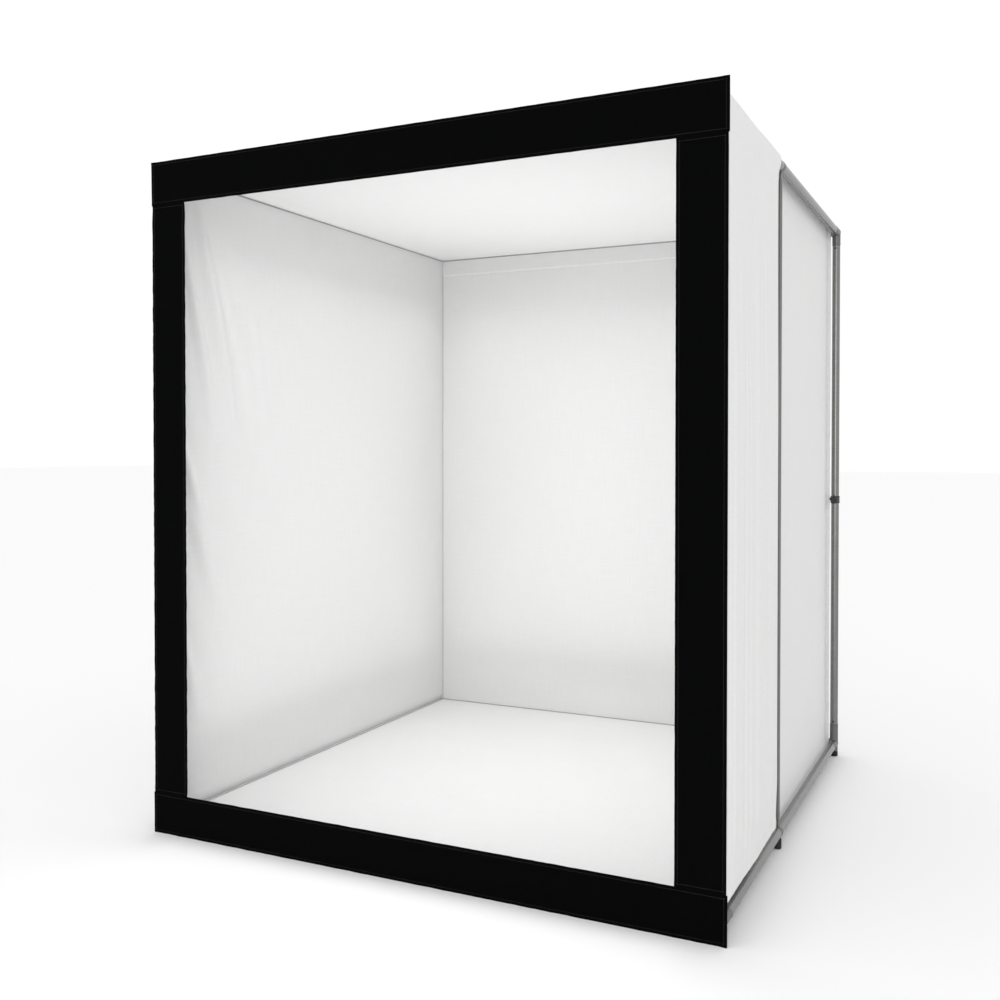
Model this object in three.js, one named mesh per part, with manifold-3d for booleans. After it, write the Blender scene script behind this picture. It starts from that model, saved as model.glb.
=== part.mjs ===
// A walk-in fabric enclosure: a tube frame with a white cloth box inside and a black border at the front.
// Millimetres. +X is right, the open front faces -Y, +Z is up; the origin is on the floor below the middle.
import * as THREE from "three";
import { mergeVertices } from "three/addons/utils/BufferGeometryUtils.js";
import Module from "manifold-3d";

// Overall size, to the outside of the border and of the rear clamps.
const tentWidth = 1981;
const tentDepth = 1981;
const tentHeight = 2286;

// Tubes and the connectors that plug into them.
const tubeDiameter = 32;
const tubeWall = 1.2;
const tubeInset = 8;
const armStep = 1;
const ballStep = 1;
const railArmLength = 70;
const postArmLow = 82;
const postArmTop = 56;
const spigotLength = 45;
const spigotWall = 2.5;
const spigotClearance = 0.3;
const railHeight = 54;
const topRailDrop = 52;

// Joint half way along each side, with the thin pole that stands in it.
const midPoleSetback = 775;
const collarWidth = 20;
const poleDiameter = 13;
const poleTipDiameter = 7;
const poleTaper = 34;
const eyeletDiameter = 17;
const eyeletHeight = 14;
const eyeletDepth = 12;
const tipClearance = 0.4;

// Clamp and knob half way up each rear post.
const clampHeight = 1098;
const clampLength = 30;
const clampWall = 2.7;
const clampBossDiameter = 15;
const clampBossHeight = 6;
const postSpigotLength = 60;
const knobDiameter = 37;
const knobThickness = 12;
const knobLobes = 5;
const knobLobeDepth = 3.5;
const knobStepsPerLobe = 8;
const knobStudDiameter = 6;
const studClearance = 0.3;

// Spring buttons that lock the tubes on the connectors.
const buttonDiameter = 7.2;
const buttonClearance = 0.35;
const buttonSetback = 13;
const buttonProud = 4;
const buttonTravel = 3.5;
const buttonInside = 6;

// Rubber feet.
const footDiameter = 33;
const footHeight = 22;
const footNeckDiameter = 32;
const midFootDiameter = 18;

// Cloth panels and the border.
const clothThickness = 4;
const borderThickness = 4;
const borderTopHeight = 146;
const borderBottomHeight = 138;
const borderSideWidth = 144;
const borderSideStepIn = 3;
const wallInset = 60;
const roofEdgeSetback = 10;
const drapeFloorGap = 115;
const drapePoleGap = 130;

// Gap between faces that touch, how far a boss or stem is rooted in its piece, and the sides of round pieces.
const seatGap = 0.3;
const rootDepth = 2;
const tubeSides = 12;
const smallSides = 12;
const ballRings = 6;

// Sizes that follow from those above.
const tubeRadius = tubeDiameter / 2;
const armRadius = tubeRadius + armStep;
const ballRadius = armRadius + ballStep;
const clampRadius = tubeRadius + seatGap + clampWall;
const clampBossReach = clampRadius + clampBossHeight;
const spigotRadius = tubeRadius - tubeWall - spigotClearance;
const holeRadius = buttonDiameter / 2 + buttonClearance;
const holeStart = tubeRadius - buttonInside - buttonTravel - seatGap;
const halfWidth = tentWidth / 2;
const frontFace = -tentDepth / 2;
const borderBack = frontFace + borderThickness + seatGap;
const postX = halfWidth - tubeInset - tubeRadius;
const frontY = borderBack + ballRadius;
const rearY = tentDepth / 2 - clampRadius;
const midY = frontFace + midPoleSetback;
const lowZ = railHeight;
const topZ = tentHeight - topRailDrop;

const wasm = await Module();
wasm.setup();

const steel = new THREE.MeshStandardMaterial({ color: 0x9c9c9a, roughness: 0.38, metalness: 0.9 });
const castGrey = new THREE.MeshStandardMaterial({ color: 0x8d8d8b, roughness: 0.5, metalness: 0.6 });
const poleGrey = new THREE.MeshStandardMaterial({ color: 0x7d7d7c, roughness: 0.45, metalness: 0.7 });
const blackPlastic = new THREE.MeshStandardMaterial({ color: 0x121212, roughness: 0.45, metalness: 0 });
const rubber = new THREE.MeshStandardMaterial({ color: 0x151515, roughness: 0.8, metalness: 0 });
const whiteCloth = new THREE.MeshStandardMaterial({ color: 0xf2f2f1, roughness: 0.85, metalness: 0 });
const blackCloth = new THREE.MeshStandardMaterial({ color: 0x0b0b0c, roughness: 0.9, metalness: 0 });

// Turns a closed three.js geometry into a solid that can be joined and cut.
function solidFrom(geometry) {
  const bare = geometry.clone();
  bare.deleteAttribute("normal");
  bare.deleteAttribute("uv");
  const merged = mergeVertices(bare, 1e-4);
  return new wasm.Manifold(
    new wasm.Mesh({
      numProp: 3,
      vertProperties: new Float32Array(merged.attributes.position.array),
      triVerts: new Uint32Array(merged.index.array),
    }),
  );
}

function geometryFrom(solid) {
  const mesh = solid.getMesh();
  const geometry = new THREE.BufferGeometry();
  geometry.setAttribute("position", new THREE.BufferAttribute(mesh.vertProperties, 3));
  geometry.setIndex(new THREE.BufferAttribute(mesh.triVerts, 1));
  geometry.computeVertexNormals();
  return geometry;
}

// Joins the first geometry with the rest, then cuts the listed ones away.
function joined(parts, cuts = []) {
  let solid = solidFrom(parts[0]);
  for (const part of parts.slice(1)) {
    solid = solid.add(solidFrom(part));
  }
  for (const cut of cuts) {
    solid = solid.subtract(solidFrom(cut));
  }
  return geometryFrom(solid);
}

// A turned piece: the profile is [radius, height] pairs, turned about +Z.
function turned(profile, sides = tubeSides) {
  const points = profile.map(([radius, height]) => new THREE.Vector2(radius, height));
  return new THREE.LatheGeometry(points, sides).rotateX(Math.PI / 2);
}

// The other hand of a piece, with its faces turned to point outwards again.
function mirrored(geometry) {
  const flipped = geometry.clone().scale(-1, 1, 1);
  const index = flipped.index.array;
  for (let i = 0; i < index.length; i += 3) {
    [index[i + 1], index[i + 2]] = [index[i + 2], index[i + 1]];
  }
  return flipped;
}

function rod(radius, from, to, sides = tubeSides) {
  return turned([[0, from], [radius, from], [radius, to], [0, to]], sides);
}

function ring(inner, outer, from, to, sides = tubeSides) {
  return turned([[inner, from], [outer, from], [outer, to], [inner, to], [inner, from]], sides);
}

// Swings a piece made along +Z so that it points along an axis, given as [x, y, z] with one entry of 1 or -1.
function pointed(geometry, [x, y, z]) {
  if (x !== 0) {
    return geometry.rotateY((x * Math.PI) / 2);
  }
  if (y !== 0) {
    return geometry.rotateX((-y * Math.PI) / 2);
  }
  return z < 0 ? geometry.rotateX(Math.PI) : geometry;
}

const tent = new THREE.Group();
const frame = new THREE.Group();
const cover = new THREE.Group();
const border = new THREE.Group();
tent.add(frame, cover, border);

function place(group, name, geometry, material, x, y, z) {
  const mesh = new THREE.Mesh(geometry, material);
  mesh.name = name;
  mesh.position.set(x, y, z);
  group.add(mesh);
}

const sides = [
  { name: "left", x: -1 },
  { name: "right", x: 1 },
];
const ends = [
  { name: "front", y: frontY, inward: 1 },
  { name: "rear", y: rearY, inward: -1 },
];
const levels = [
  { name: "bottom", z: lowZ, inward: 1, postArm: postArmLow },
  { name: "top", z: topZ, inward: -1, postArm: postArmTop },
];

// Holes for a spring button: through a post at a height, towards -Y, and through a rail at a reach, upwards.
function postHole(height) {
  const hole = rod(holeRadius, holeStart, tubeDiameter, smallSides);
  return pointed(hole, [0, -1, 0]).translate(0, 0, height);
}

function railHole(reach) {
  return rod(holeRadius, holeStart, tubeDiameter, smallSides).translate(0, reach, 0);
}

// One arm of a connector: a shouldered barrel that ends in the hollow spigot that a tube slides over.
function arm(length) {
  const end = length + spigotLength;
  const bore = spigotRadius - spigotWall;
  return turned([
    [0, 0], [armRadius, 0], [armRadius, length], [spigotRadius, length],
    [spigotRadius, end], [bore, end], [bore, length], [0, length],
  ]);
}

// Corner connectors: three arms on a ball, and a neck for the foot on the bottom ones.
for (const side of sides) {
  for (const end of ends) {
    for (const level of levels) {
      const parts = [
        new THREE.SphereGeometry(ballRadius, tubeSides, ballRings),
        pointed(arm(railArmLength), [-side.x, 0, 0]),
        pointed(arm(railArmLength), [0, end.inward, 0]),
        pointed(arm(level.postArm), [0, 0, level.inward]),
      ];
      if (level.name === "bottom") {
        parts.push(rod(footNeckDiameter / 2, footHeight + seatGap - lowZ, 0));
      }
      const cuts = [];
      if (end.name === "rear") {
        cuts.push(postHole(level.inward * (level.postArm + buttonSetback)));
      }
      const name = `corner_${end.name}_${side.name}_${level.name}`;
      place(frame, name, joined(parts, cuts), castGrey, side.x * postX, end.y, level.z);
    }
  }
}

// Posts. The front ones are one tube; the rear ones are two, swaged together inside the clamp.
const postStart = lowZ + postArmLow + seatGap;
const postEnd = topZ - postArmTop - seatGap;
const boreRadius = tubeRadius - tubeWall;
const buttonLowZ = lowZ + postArmLow + buttonSetback;
const buttonTopZ = topZ - postArmTop - buttonSetback;
for (const side of sides) {
  const x = side.x * postX;
  const frontPost = ring(boreRadius, tubeRadius, postStart, postEnd);
  place(frame, `post_front_${side.name}`, frontPost, steel, x, frontY, 0);

  const lowerTube = ring(boreRadius, tubeRadius, postStart, clampHeight);
  const lowerHole = postHole(buttonLowZ);
  place(frame, `post_rear_${side.name}_lower`, joined([lowerTube], [lowerHole]), steel, x, rearY, 0);

  const swage = clampHeight - postSpigotLength;
  const swageBore = spigotRadius - spigotWall;
  const upperTube = turned([
    [swageBore, swage], [spigotRadius, swage], [spigotRadius, clampHeight + seatGap],
    [tubeRadius, clampHeight + seatGap], [tubeRadius, postEnd], [boreRadius, postEnd],
    [boreRadius, clampHeight + 2 * tubeRadius], [swageBore, clampHeight + tubeRadius], [swageBore, swage],
  ]);
  const upperHole = postHole(buttonTopZ);
  place(frame, `post_rear_${side.name}_upper`, joined([upperTube], [upperHole]), steel, x, rearY, 0);
}

// Clamp that grips the joint of a rear post, with a threaded boss for its knob.
function clampCollar() {
  const body = ring(tubeRadius + seatGap, clampRadius, -clampLength / 2, clampLength / 2);
  const boss = rod(clampBossDiameter / 2, clampRadius - rootDepth, clampBossReach, smallSides);
  const thread = rod(knobStudDiameter / 2 + studClearance, tubeRadius - rootDepth, tubeDiameter, smallSides);
  return joined([body, pointed(boss, [0, -1, 0])], [pointed(thread, [0, -1, 0])]);
}

// Star knob on a stud, pointing along -Y from the post's axis.
function starKnob() {
  const outline = new THREE.Shape();
  const steps = knobLobes * knobStepsPerLobe;
  for (let i = 0; i < steps; i++) {
    const angle = (i / steps) * 2 * Math.PI;
    const radius = knobDiameter / 2 - (knobLobeDepth / 2) * (1 - Math.cos(knobLobes * angle));
    const x = radius * Math.cos(angle);
    const y = radius * Math.sin(angle);
    if (i === 0) {
      outline.moveTo(x, y);
    } else {
      outline.lineTo(x, y);
    }
  }
  outline.closePath();
  const head = new THREE.ExtrudeGeometry(outline, { depth: knobThickness, bevelEnabled: false });
  head.translate(0, 0, clampBossReach + seatGap);
  const stud = rod(knobStudDiameter / 2, tubeRadius + seatGap, clampBossReach + rootDepth, smallSides);
  return pointed(joined([head, stud]), [0, -1, 0]);
}

for (const side of sides) {
  place(frame, `post_clamp_${side.name}`, clampCollar(), blackPlastic, side.x * postX, rearY, clampHeight);
  place(frame, `post_knob_${side.name}`, starKnob(), blackPlastic, side.x * postX, rearY, clampHeight);
}

// Rails across the front and the rear.
const crossHalf = postX - railArmLength - seatGap;
for (const end of ends) {
  for (const level of levels) {
    const tube = pointed(ring(boreRadius, tubeRadius, -crossHalf, crossHalf), [1, 0, 0]);
    place(frame, `rail_${end.name}_${level.name}`, tube, steel, 0, end.y, level.z);
  }
}

// Side rails, in two lengths that meet at the middle connector. The top ones have holes for its buttons.
const frontRailLength = midY - collarWidth / 2 - seatGap - (frontY + railArmLength + seatGap);
const rearRailLength = rearY - railArmLength - seatGap - (midY + collarWidth / 2 + seatGap);
const midButtonReach = collarWidth / 2 + buttonSetback;
function sideRail(length, holeAt, level) {
  const tube = pointed(ring(boreRadius, tubeRadius, 0, length), [0, 1, 0]);
  if (level.name === "bottom") {
    return tube;
  }
  return joined([tube], [railHole(holeAt)]);
}

for (const side of sides) {
  for (const level of levels) {
    const x = side.x * postX;
    const frontStart = frontY + railArmLength + seatGap;
    const rearStart = midY + collarWidth / 2 + seatGap;
    const frontPart = sideRail(frontRailLength, midY - midButtonReach - frontStart, level);
    const rearPart = sideRail(rearRailLength, midY + midButtonReach - rearStart, level);
    place(frame, `rail_${side.name}_${level.name}_front`, frontPart, steel, x, frontStart, level.z);
    place(frame, `rail_${side.name}_${level.name}_rear`, rearPart, steel, x, rearStart, level.z);
  }
}

// Middle connectors: a collar between two spigots, with the eyelet that holds an end of the pole. The bottom
// ones stand on a moulded foot.
function midConnector(level) {
  const bore = spigotRadius - spigotWall;
  const half = collarWidth / 2;
  const end = half + spigotLength;
  const barrel = turned([
    [bore, -end], [spigotRadius, -end], [spigotRadius, -half], [armRadius, -half],
    [armRadius, half], [spigotRadius, half], [spigotRadius, end], [bore, end], [bore, -end],
  ]);
  const top = armRadius + eyeletHeight;
  const eyelet = rod(eyeletDiameter / 2, armRadius - rootDepth, top, smallSides);
  const socket = rod(poleTipDiameter / 2 + tipClearance, top - eyeletDepth, top + rootDepth, smallSides);
  const direction = [0, 0, level.inward];
  const cuts = [pointed(socket, direction)];
  if (level.name === "top") {
    for (const reach of [-midButtonReach, midButtonReach]) {
      cuts.push(railHole(reach));
    }
  }
  const parts = [pointed(barrel, [0, 1, 0]), pointed(eyelet, direction)];
  if (level.name === "bottom") {
    parts.push(rod(midFootDiameter / 2, -lowZ, rootDepth - armRadius, smallSides));
  }
  return joined(parts, cuts);
}

// Thin poles, tapered at both ends to a tip that stands in the eyelet.
const shoulderLow = lowZ + armRadius + eyeletHeight + seatGap;
const shoulderTop = topZ - armRadius - eyeletHeight - seatGap;
const tipLength = eyeletDepth - seatGap;
const tipRadius = poleTipDiameter / 2;
const poleRadius = poleDiameter / 2;
const poleProfile = [
  [0, shoulderLow - tipLength], [tipRadius, shoulderLow - tipLength], [tipRadius, shoulderLow],
  [poleRadius, shoulderLow + poleTaper], [poleRadius, shoulderTop - poleTaper],
  [tipRadius, shoulderTop], [tipRadius, shoulderTop + tipLength], [0, shoulderTop + tipLength],
];
for (const side of sides) {
  const x = side.x * postX;
  for (const level of levels) {
    place(frame, `mid_connector_${side.name}_${level.name}`, midConnector(level), castGrey, x, midY, level.z);
  }
  place(frame, `mid_pole_${side.name}`, turned(poleProfile, smallSides), poleGrey, x, midY, 0);
}

// Spring buttons: a domed pin that slides in its hole. The dome stands proud of the tube.
function springButton() {
  const radius = buttonDiameter / 2;
  const start = tubeRadius - buttonInside;
  const shoulder = tubeRadius + buttonProud - radius / 2;
  return turned([
    [0, start], [radius, start], [radius, shoulder],
    [radius * 0.75, shoulder + radius * 0.35], [0, tubeRadius + buttonProud],
  ], smallSides);
}

for (const side of sides) {
  const x = side.x * postX;
  const name = `button_${side.name}`;
  const postButton = () => pointed(springButton(), [0, -1, 0]);
  place(frame, `${name}_post_bottom`, postButton(), blackPlastic, x, rearY, buttonLowZ);
  place(frame, `${name}_post_top`, postButton(), blackPlastic, x, rearY, buttonTopZ);
  place(frame, `${name}_rail_front`, springButton(), blackPlastic, x, midY - midButtonReach, topZ);
  place(frame, `${name}_rail_rear`, springButton(), blackPlastic, x, midY + midButtonReach, topZ);
}

// Rubber feet: a cup under each corner.
const footLip = 3;
for (const side of sides) {
  for (const end of ends) {
    const radius = footDiameter / 2;
    const foot = turned([
      [0, 0], [radius - footLip, 0], [radius, footLip], [radius, footHeight - footLip],
      [radius - footLip, footHeight], [0, footHeight],
    ]);
    place(frame, `foot_${end.name}_${side.name}`, foot, rubber, side.x * postX, end.y, 0);
  }
}

// A panel between two corners, placed at its middle.
function panel(group, name, material, low, high) {
  const size = high.map((value, axis) => value - low[axis]);
  const middle = high.map((value, axis) => (value + low[axis]) / 2);
  place(group, name, new THREE.BoxGeometry(...size), material, ...middle);
}

// The white cloth box: roof, floor, rear wall and two side walls, sewn edge to edge.
const roofLow = topZ + ballRadius + seatGap;
const roofHigh = roofLow + clothThickness;
const floorHigh = lowZ + clothThickness / 2;
const floorLow = floorHigh - clothThickness;
const floorHalf = postX - ballRadius - seatGap;
const clothFront = frontY + ballRadius + seatGap;
const rearWallBack = rearY - ballRadius - seatGap;
const rearWallFront = rearWallBack - clothThickness;
const roofHalf = postX - roofEdgeSetback;
const wallInner = halfWidth - wallInset;
const wallOuter = wallInner + clothThickness;
const wallLow = floorHigh + seatGap;
const wallHigh = roofLow - seatGap;
panel(cover, "roof", whiteCloth, [-roofHalf, borderBack, roofLow], [roofHalf, rearY, roofHigh]);
panel(cover, "floor", whiteCloth, [-floorHalf, clothFront, floorLow], [floorHalf, rearWallBack, floorHigh]);
panel(cover, "rear_wall", whiteCloth, [-floorHalf, rearWallFront, wallLow],
  [floorHalf, rearWallBack, wallHigh]);
panel(cover, "left_wall", whiteCloth, [-wallOuter, clothFront, wallLow],
  [-wallInner, rearWallFront - seatGap, wallHigh]);
panel(cover, "right_wall", whiteCloth, [wallInner, clothFront, wallLow],
  [wallOuter, rearWallFront - seatGap, wallHigh]);

// Outer drapes at the front of each side: they hang outside the frame, fold over the top rail and stop short of
// the middle pole.
const drapeInner = postX + ballRadius + seatGap;
const drapeOuter = drapeInner + clothThickness;
const drapeFold = ballRadius + seatGap;
const drapeEnd = midY - poleRadius - drapePoleGap;
const foldSteps = 5;
function drape() {
  const flapEnd = roofHalf + seatGap;
  const outline = new THREE.Shape();
  outline.moveTo(drapeInner, drapeFloorGap);
  outline.lineTo(drapeOuter, drapeFloorGap);
  outline.absarc(postX, topZ, drapeFold + clothThickness, 0, Math.PI / 2, false);
  outline.lineTo(flapEnd, roofHigh);
  outline.lineTo(flapEnd, roofLow);
  outline.absarc(postX, topZ, drapeFold, Math.PI / 2, 0, true);
  outline.closePath();
  const length = drapeEnd - borderBack;
  const extrusion = { depth: length, bevelEnabled: false, curveSegments: foldSteps };
  const hung = new THREE.ExtrudeGeometry(outline, extrusion);
  hung.rotateX(Math.PI / 2);
  return joined([hung]);
}

place(cover, "right_drape", drape(), whiteCloth, 0, drapeEnd, 0);
place(cover, "left_drape", mirrored(drape()), whiteCloth, 0, drapeEnd, 0);

// The black border: top and bottom strips across the full width, and side strips between them.
const borderBackFace = borderBack - seatGap;
const sideLow = borderBottomHeight + seatGap;
const sideHigh = tentHeight - borderTopHeight - seatGap;
const stripOuter = halfWidth - borderSideStepIn;
const stripInner = halfWidth - borderSideWidth;
panel(border, "border_top", blackCloth, [-halfWidth, frontFace, tentHeight - borderTopHeight],
  [halfWidth, borderBackFace, tentHeight]);
panel(border, "border_bottom", blackCloth, [-halfWidth, frontFace, 0],
  [halfWidth, borderBackFace, borderBottomHeight]);
panel(border, "border_left", blackCloth, [-stripOuter, frontFace, sideLow],
  [-stripInner, borderBackFace, sideHigh]);
panel(border, "border_right", blackCloth, [stripInner, frontFace, sideLow],
  [stripOuter, borderBackFace, sideHigh]);

export default tent;
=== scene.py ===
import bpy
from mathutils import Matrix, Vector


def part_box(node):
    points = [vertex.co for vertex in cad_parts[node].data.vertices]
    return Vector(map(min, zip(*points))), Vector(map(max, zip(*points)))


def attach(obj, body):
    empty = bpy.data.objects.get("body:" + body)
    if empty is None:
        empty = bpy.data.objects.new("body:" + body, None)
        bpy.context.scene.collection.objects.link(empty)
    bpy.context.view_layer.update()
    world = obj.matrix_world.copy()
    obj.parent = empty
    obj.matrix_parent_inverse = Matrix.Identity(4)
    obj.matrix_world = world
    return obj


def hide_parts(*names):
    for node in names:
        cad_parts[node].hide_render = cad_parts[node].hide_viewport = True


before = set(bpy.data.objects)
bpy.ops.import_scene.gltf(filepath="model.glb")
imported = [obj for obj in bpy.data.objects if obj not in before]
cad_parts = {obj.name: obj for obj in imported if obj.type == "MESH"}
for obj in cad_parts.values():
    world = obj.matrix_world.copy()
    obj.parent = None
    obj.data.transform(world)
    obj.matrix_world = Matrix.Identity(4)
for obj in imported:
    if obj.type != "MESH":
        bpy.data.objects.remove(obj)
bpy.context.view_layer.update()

import math

import bmesh
import bpy
import numpy as np
from mathutils import Vector

# The studio: a pale floor, soft lights and the camera. The camera stands to the right of the open front at
# chest height, and the lights keep the white cloth bright while the right side stays a little darker.
CAMERA_PLACE = (1.674, -3.774, 1.315)
CAMERA_LOOK = (-0.4356, 0.9000, -0.0163)
CAMERA_LENS = 38.64
CAMERA_SHIFT = -0.0339
CAMERA_FAR = 100
FLOOR_HALF = 60.0
FLOOR_COLOUR = (0.95, 0.95, 0.95)
FLOOR_ROUGHNESS = 0.9
FLOOR_GLOSS = 0.1
SKY_COLOUR = (1.0, 1.0, 1.0, 1)
SKY_STRENGTH = 0.93
FRONT_LIGHT_SIZE = 3.0
FRONT_LIGHT_POWER = 88
INSIDE_LIGHT_SIZE = 1.7
INSIDE_LIGHT_POWER = 9
INSIDE_LIGHT_SPREAD = 105
EXPOSURE = 0.12

stage_scene = bpy.context.scene
stage_scene.view_settings.view_transform = "Standard"
stage_scene.view_settings.exposure = EXPOSURE
camera = bpy.data.objects.new("camera", bpy.data.cameras.new("camera"))
stage_scene.collection.objects.link(camera)
camera.location = CAMERA_PLACE
camera.rotation_euler = Vector(CAMERA_LOOK).to_track_quat("-Z", "Y").to_euler()
camera.data.lens = CAMERA_LENS
camera.data.shift_y = CAMERA_SHIFT
camera.data.clip_end = CAMERA_FAR
stage_scene.camera = camera

sky = bpy.data.worlds.new("sky")
sky.use_nodes = True
sky.node_tree.nodes["Background"].inputs["Color"].default_value = SKY_COLOUR
sky.node_tree.nodes["Background"].inputs["Strength"].default_value = SKY_STRENGTH
stage_scene.world = sky


def softbox(name, place, aim, size, power, spread=180):
    """A square soft light at a place, turned towards a point."""
    data = bpy.data.lights.new(name, "AREA")
    data.shape = "SQUARE"
    data.size = size
    data.energy = power
    data.spread = math.radians(spread)
    light = bpy.data.objects.new(name, data)
    light.location = place
    light.rotation_euler = (Vector(aim) - Vector(place)).to_track_quat("-Z", "Y").to_euler()
    light.visible_camera = False
    stage_scene.collection.objects.link(light)


softbox("front_light", (2.0, -6.8, 1.9), (0.0, 0.2, 1.2), FRONT_LIGHT_SIZE, FRONT_LIGHT_POWER)
for name, height, aim_height in (("inside_top_light", 2.12, 0.0), ("inside_low_light", 0.20, 2.0)):
    softbox(name, (0.0, 0.0, height), (0.0, 0.0, aim_height), INSIDE_LIGHT_SIZE, INSIDE_LIGHT_POWER,
            INSIDE_LIGHT_SPREAD)


def new_finish(name, colour, roughness, metallic=0.0):
    """A material with its constant values set on the shader's own sockets."""
    material = bpy.data.materials.new(name)
    material.use_nodes = True
    shader = material.node_tree.nodes["Principled BSDF"]
    shader.inputs["Base Color"].default_value = (*colour, 1)
    shader.inputs["Roughness"].default_value = roughness
    shader.inputs["Metallic"].default_value = metallic
    return material, material.node_tree, shader


def node(tree, kind, **values):
    """Adds a node to a tree and sets its properties and its named inputs."""
    made = tree.nodes.new(kind)
    for key, value in values.items():
        if hasattr(made, key):
            setattr(made, key, value)
        else:
            made.inputs[key.replace("_", " ")].default_value = value
    return made


floor_finish, _, floor_shader = new_finish("floor_paint", FLOOR_COLOUR, FLOOR_ROUGHNESS)
floor_shader.inputs["Specular IOR Level"].default_value = FLOOR_GLOSS
floor_mesh = bpy.data.meshes.new("studio_floor")
floor_corners = [(x * FLOOR_HALF, y * FLOOR_HALF, 0.0) for x, y in ((-1, -1), (1, -1), (1, 1), (-1, 1))]
floor_mesh.from_pydata(floor_corners, [], [(0, 1, 2, 3)])
floor_mesh.materials.append(floor_finish)
studio_floor = bpy.data.objects.new("studio_floor", floor_mesh)
stage_scene.collection.objects.link(studio_floor)

# The tubes: round satin metal, 32 mm across, cut square with the edges broken. Every length is a plain hollow
# tube that slides over a connector's spigot. The finish has a fine grain and faint cloudy handling marks.
TUBE_STEPS = 48
TUBE_WALL = 0.0012
TUBE_BREAK = 0.0006
TUBE_JOINT_GAP = 0.0003
STEEL_COLOUR = (0.22, 0.22, 0.217)
STEEL_ROUGHNESS = 0.27
STEEL_GRAIN = 900.0
SMOOTH_ANGLE = math.radians(35)


def metal_finish(name, colour, roughness, grain):
    """Satin metal: fine grain in the roughness, and cloudy marks in the colour."""
    material, tree, shader = new_finish(name, colour, roughness, 0.92)
    place = node(tree, "ShaderNodeTexCoord")
    fine = node(tree, "ShaderNodeTexNoise", Scale=grain, Detail=3.0)
    marks = node(tree, "ShaderNodeTexNoise", Scale=18.0, Detail=4.0)
    tree.links.new(place.outputs["Object"], fine.inputs["Vector"])
    tree.links.new(place.outputs["Object"], marks.inputs["Vector"])
    rough = node(tree, "ShaderNodeMapRange", To_Min=roughness - 0.07, To_Max=roughness + 0.09)
    tree.links.new(fine.outputs["Fac"], rough.inputs["Value"])
    tree.links.new(rough.outputs["Result"], shader.inputs["Roughness"])
    tint = node(tree, "ShaderNodeMix", data_type="RGBA")
    tint.inputs[6].default_value = (*[c * 0.86 for c in colour], 1)
    tint.inputs[7].default_value = (*[min(1.0, c * 1.08) for c in colour], 1)
    tree.links.new(marks.outputs["Fac"], tint.inputs[0])
    tree.links.new(tint.outputs[2], shader.inputs["Base Color"])
    bump = node(tree, "ShaderNodeBump", Strength=0.12, Distance=0.0002)
    tree.links.new(fine.outputs["Fac"], bump.inputs["Height"])
    tree.links.new(bump.outputs["Normal"], shader.inputs["Normal"])
    return material


def turned(profile, centre, axis, steps, closed=False):
    """Points and faces of (radius, height) pairs turned about an axis through centre."""
    axis = Vector(axis).normalized()
    side = axis.orthogonal().normalized()
    other = axis.cross(side)
    centre = Vector(centre)
    points, rings, faces = [], [], []
    for radius, height in profile:
        count = steps if radius > 0 else 1
        rings.append([len(points) + i for i in range(count)])
        for i in range(count):
            turn = 2 * math.pi * i / steps
            spoke = side * math.cos(turn) + other * math.sin(turn)
            points.append(centre + axis * height + spoke * radius)
    pairs = list(zip(rings, rings[1:])) + ([(rings[-1], rings[0])] if closed else [])
    for low, high in pairs:
        for i in range(steps):
            j = (i + 1) % steps
            corners = [low[i % len(low)], low[j % len(low)], high[j % len(high)], high[i % len(high)]]
            faces.append(list(dict.fromkeys(corners)))
    return points, faces


def mesh_object(name, points, faces):
    """A new object at the origin whose faces point outwards."""
    mesh = bpy.data.meshes.new(name)
    mesh.from_pydata([tuple(p) for p in points], [], faces)
    work = bmesh.new()
    work.from_mesh(mesh)
    bmesh.ops.recalc_face_normals(work, faces=work.faces)
    work.to_mesh(mesh)
    work.free()
    piece = bpy.data.objects.new(name, mesh)
    stage_scene.collection.objects.link(piece)
    return piece


def applied(piece):
    """Turns a piece's modifiers into plain mesh."""
    graph = bpy.context.evaluated_depsgraph_get()
    mesh = bpy.data.meshes.new_from_object(piece.evaluated_get(graph))
    piece.modifiers.clear()
    piece.data = mesh
    return piece


def fitted(piece, material, replaced=(), body="frame"):
    """Gives a piece its finish, and fixes it to its body in place of the CAD nodes."""
    piece.data.materials.clear()
    piece.data.materials.append(material)
    piece.data.shade_smooth()
    piece.data.set_sharp_from_angle(angle=SMOOTH_ANGLE)
    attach(piece, body)
    if replaced:
        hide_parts(*replaced)
    return piece


def rod_profile(radius, start, end):
    """A plain solid rod's profile between two heights."""
    return [(0, start), (radius, start), (radius, end), (0, end)]


def tube_line(name):
    """A tube's middle, the number of its long axis, its length and its radius."""
    low, high = (np.array(corner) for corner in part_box(name))
    size = high - low
    axis = int(size.argmax())
    return (low + high) / 2, axis, float(size[axis]), float(np.delete(size, axis).max() / 2)


steel = metal_finish("satin_steel", STEEL_COLOUR, STEEL_ROUGHNESS, STEEL_GRAIN)
UNIT = np.eye(3)
tube_names = [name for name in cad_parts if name.startswith(("rail_", "post_front_", "post_rear_"))]
for name in sorted(tube_names):
    middle, axis, length, radius = tube_line(name)
    start = -length / 2
    if name.endswith("_upper"):
        lower_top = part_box(name.replace("_upper", "_lower"))[1][2]
        start = lower_top + TUBE_JOINT_GAP - middle[2]
    end = length / 2
    bore = radius - TUBE_WALL
    profile = [
        (bore, start), (radius - TUBE_BREAK, start), (radius, start + TUBE_BREAK),
        (radius, end - TUBE_BREAK), (radius - TUBE_BREAK, end), (bore, end),
    ]
    points, faces = turned(profile, middle, UNIT[axis], TUBE_STEPS, closed=True)
    fitted(mesh_object(f"{name}_tube", points, faces), steel, [name])

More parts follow.
